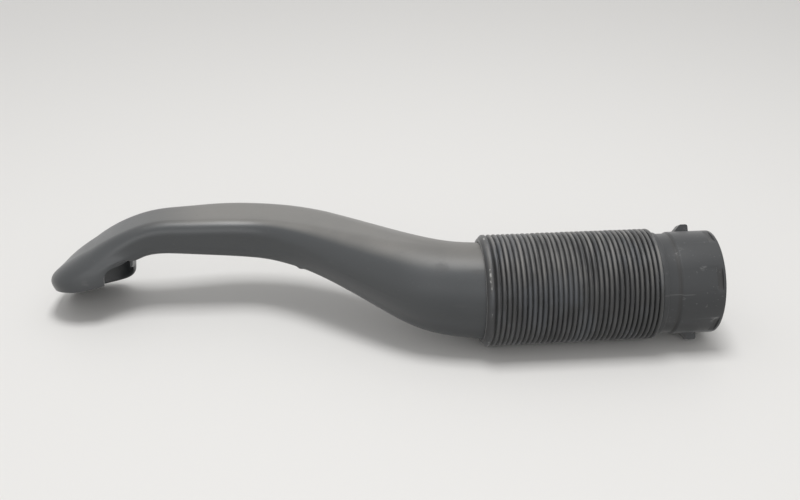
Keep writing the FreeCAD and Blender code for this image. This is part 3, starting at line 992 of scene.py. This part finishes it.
def bowed(rows, rim):
    """Rows next to the rim raised at the nose's near side and round the heel."""
    along = along_rim(rows, rim)
    nose = along < 0
    near = LIFT_SLOPE * (rim.y - rows[..., 1]) / INLET_WIDTH
    near = np.clip(np.where(nose, NOSE_LIFT_MIDDLE, HEEL_LIFT_MIDDLE) + near, 0, 1)
    lift = np.where(nose, NOSE_LIFT * along ** NOSE_LIFT_POWER, HEEL_LIFT * along ** HEEL_LIFT_POWER)
    rows[..., 2] += lift * ramp(rows, LIFT_FROM) * near
    return rows


def swollen(rows, rim):
    """The hood made fuller towards the nose, between the throat and the rim."""
    hood = ramp(rows, SWELL_FROM)
    nose = np.clip(-along_rim(rows, rim), 0, 1)
    rows[..., 0] -= HOOD_SWELL * np.sin(math.pi * hood ** SWELL_POWER) * nose
    return rows


def rolled_in(rows):
    """Rows next to the rim drawn in, level, towards the middle of each row."""
    away = rows - rows.mean(axis=1, keepdims=True)
    away[..., 2] = 0
    # at least 1 mm, so that nothing is divided by zero
    length = np.linalg.norm(away, axis=-1, keepdims=True).clip(1)
    rows -= away / length * RIM_ROLL_IN * ramp(rows, LIFT_FROM)[..., None] ** ROLL_IN_POWER
    return rows


def duct_rings(crest):
    """Rings over the outside, round the rim's lip and back along the inside."""
    rim = rim_middle(crest)
    stations = sweep_stations() + arch_stations()
    throat = stations[-1][0]
    stations += hood_stations(throat, rim)
    middles = np.array([tuple(station[0]) for station in stations])
    knots = np.concatenate([[0], np.cumsum(np.linalg.norm(np.diff(middles, axis=0), axis=1))])
    wanted = np.linspace(0, knots[-1] - DUCT_WALL / 2, DUCT_ROWS)
    skins = []
    for wall in (0, DUCT_WALL):
        sections = np.array([section(station, wall) for station in stations])
        rows = smoothed(spline_rows(knots, sections, wanted))
        skins.append(rolled_in(swollen(bowed(rows, rim), rim)))
    outer, inner = skins
    out_of_rim = middles[-1] - middles[-2]
    out_of_rim /= np.linalg.norm(out_of_rim)
    middle = (outer[-1] + inner[-1]) / 2
    lip = []
    for step in range(1, LIP_STEPS):
        angle = math.pi * step / LIP_STEPS
        bulge = out_of_rim * DUCT_WALL / 2 * math.sin(angle)
        lip.append(middle + (outer[-1] - middle) * math.cos(angle) + bulge)
    spigot = np.array([SPIGOT_DEPTH, 0, 0])
    return np.concatenate([[outer[0] + spigot], outer, lip, inner[::-1], [inner[0] + spigot]])


def with_nib(rings):
    """Rings with a small nib drawn down under the duct."""
    from_nib = np.linalg.norm(rings - np.array(NIB_PLACE), axis=-1)
    rings[..., 2] -= NIB_HEIGHT * np.exp(-(from_nib / NIB_RADIUS) ** 2)
    return rings


def notch(start, crest):
    """Prism that cuts the arched opening into the hood's near wall."""
    rim = rim_middle(crest)
    heel = start + rim.x + INLET_LENGTH / 2
    left = heel - NOTCH_WIDTH
    right = heel - NOTCH_HEEL
    top = rim.z + math.sin(math.radians(INLET_ROLL)) * INLET_WIDTH / 2 + NOTCH_HEIGHT
    foot = rim.z - INLET_WIDTH / 2
    back = rim.y - INLET_WIDTH / 2 + NOTCH_DEPTH
    arch = rounded([
        (left, foot, 0), (right, foot, 0), (right, top, NOTCH_HEEL_CORNER), (left, top, NOTCH_CORNER)],
        NOTCH_STEPS)
    return prism("notch", arch, lambda point, face: (point[0], back - INLET_WIDTH * face, point[1]))


def duct():
    """The blow-moulded duct with its hooded inlet."""
    hose_low, hose_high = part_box("bellows_hose")
    start = hose_low.x / MM
    crest = hose_high.z / MM
    rings = with_nib(duct_rings(crest) + np.array([start, 0, 0]))
    mesh = ring_mesh("snorkel_tube_wall", inside_box(rings, *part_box("snorkel_tube")))
    mesh = combined(mesh, notch(start, crest), "DIFFERENCE")
    smooth(mesh, DUCT_SHARP_ANGLE)
    new_piece("snorkel_tube_skin", mesh, duct_plastic(), "snorkel_tube")


# Stage

def floor(level):
    """A wide pale floor under the part."""
    corners = [(x * FLOOR_HALF, y * FLOOR_HALF, level) for x, y in ((-1, -1), (1, -1), (1, 1), (-1, 1))]
    mesh = bpy.data.meshes.new("floor")
    mesh.from_pydata(corners, [], [(0, 1, 2, 3)])
    mesh.materials.append(floor_paint())
    plane = bpy.data.objects.new("floor", mesh)
    bpy.context.scene.collection.objects.link(plane)


def lights():
    """An even background, brighter where it is only seen, and the studio lamps."""
    world = bpy.data.worlds.new("studio")
    world.use_nodes = True
    tree = world.node_tree
    background = tree.nodes["Background"]
    background.inputs["Color"].default_value = (*WORLD_COLOUR, 1.0)
    strength = ranged(tree, seen(tree), 0.0, 1.0, WORLD_STRENGTH, SEEN_WORLD_STRENGTH)
    tree.links.new(strength, background.inputs["Strength"])
    bpy.context.scene.world = world
    for name, (place, target, size, power) in LAMPS.items():
        data = bpy.data.lights.new(name, "AREA")
        data.shape = "RECTANGLE"
        data.size, data.size_y = size
        data.energy = power
        lamp = bpy.data.objects.new(name, data)
        lamp.location = place
        lamp.rotation_euler = (Vector(target) - lamp.location).to_track_quat("-Z", "Y").to_euler()
        bpy.context.scene.collection.objects.link(lamp)


def camera():
    """The photograph's camera."""
    data = bpy.data.cameras.new("camera")
    data.sensor_width = SENSOR_WIDTH
    data.lens = FOCAL_PX / PHOTO_WIDTH_PX * SENSOR_WIDTH
    data.clip_start = CAMERA_CLIP_START
    eye = bpy.data.objects.new("camera", data)
    eye.location = CAMERA_PLACE
    eye.rotation_euler = (math.radians(90 - CAMERA_PITCH_DOWN), 0, math.radians(-CAMERA_YAW))
    bpy.context.scene.collection.objects.link(eye)
    bpy.context.scene.camera = eye


bellows()
coupling()
duct()
floor(cad_box[0][2])
lights()
camera()
bpy.context.scene.view_settings.view_transform = "Standard"
